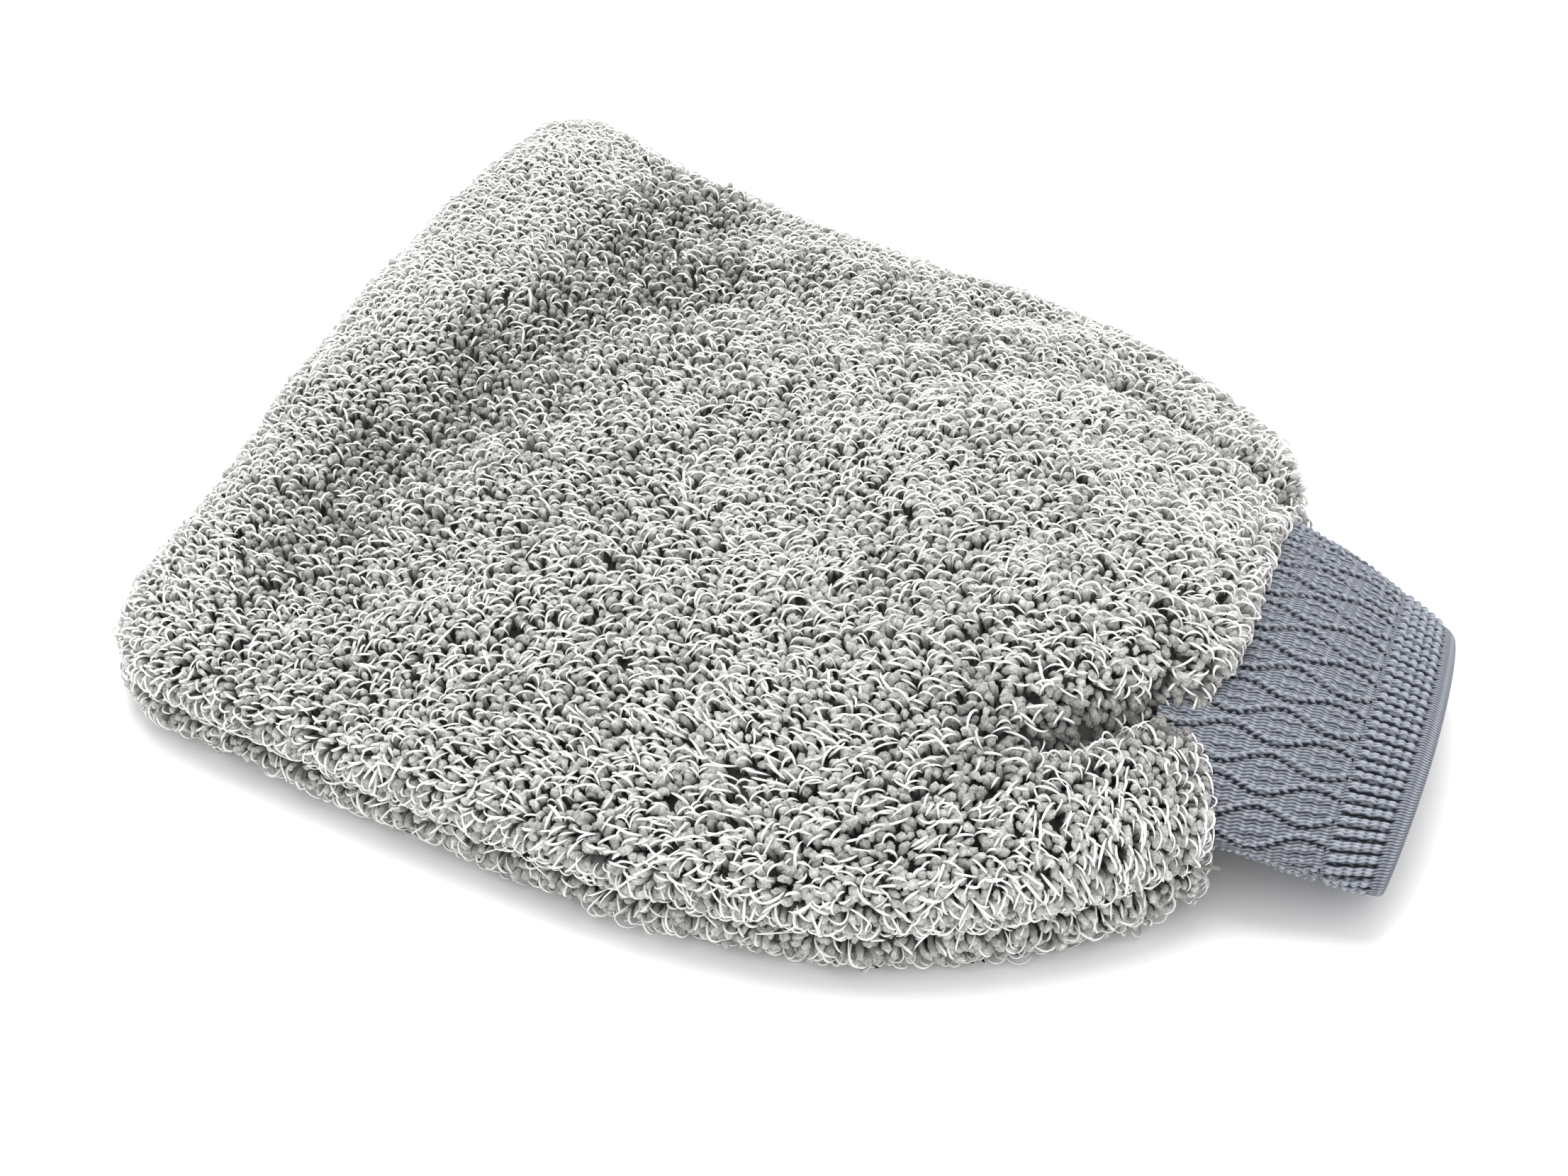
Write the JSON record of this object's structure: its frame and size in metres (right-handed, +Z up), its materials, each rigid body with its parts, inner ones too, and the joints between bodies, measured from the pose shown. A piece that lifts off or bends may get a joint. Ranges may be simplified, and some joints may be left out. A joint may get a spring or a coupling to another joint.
{
  "type": "wash mitt",
  "caption": "Thumbless wash mitt with deep grey twisted pile on both sides and a doubled blue-grey knit cuff, lying flat.",
  "frame": {"origin": "bottom centre of the bounding box: under the middle of the mitt, on the surface that its palm side lies on", "axes": "+X from the finger end to the cuff's hem, along the length; +Y to the far side; +Z up out of the back"},
  "size_m": [0.2709, 0.2007, 0.042],
  "materials": {
    "pile": "matte twisted microfibre pile, warm grey with near-white filaments",
    "backing": "matte knitted ground",
    "lining": "smooth woven polyester",
    "thread": "spun polyester sewing thread",
    "cuff_knit": "ribbed and figured knit, blue-grey",
    "elastic": "covered rubber yarn"
  },
  "bodies": {
    "root": {"back_pile": "pile", "palm_pile": "pile", "back_backing": "backing", "palm_backing": "backing", "back_lining": "lining", "palm_lining": "lining", "closing_seam_thread": "thread", "lining_seam_thread": "thread", "wrist_seam_thread": "thread", "cuff_outer_ply": "cuff_knit", "cuff_inner_ply": "cuff_knit", "cuff_hem": "cuff_knit", "cuff_elastic_yarns": "elastic", "hem_elastic_yarns": "elastic"}
  },
  "joints": []
}
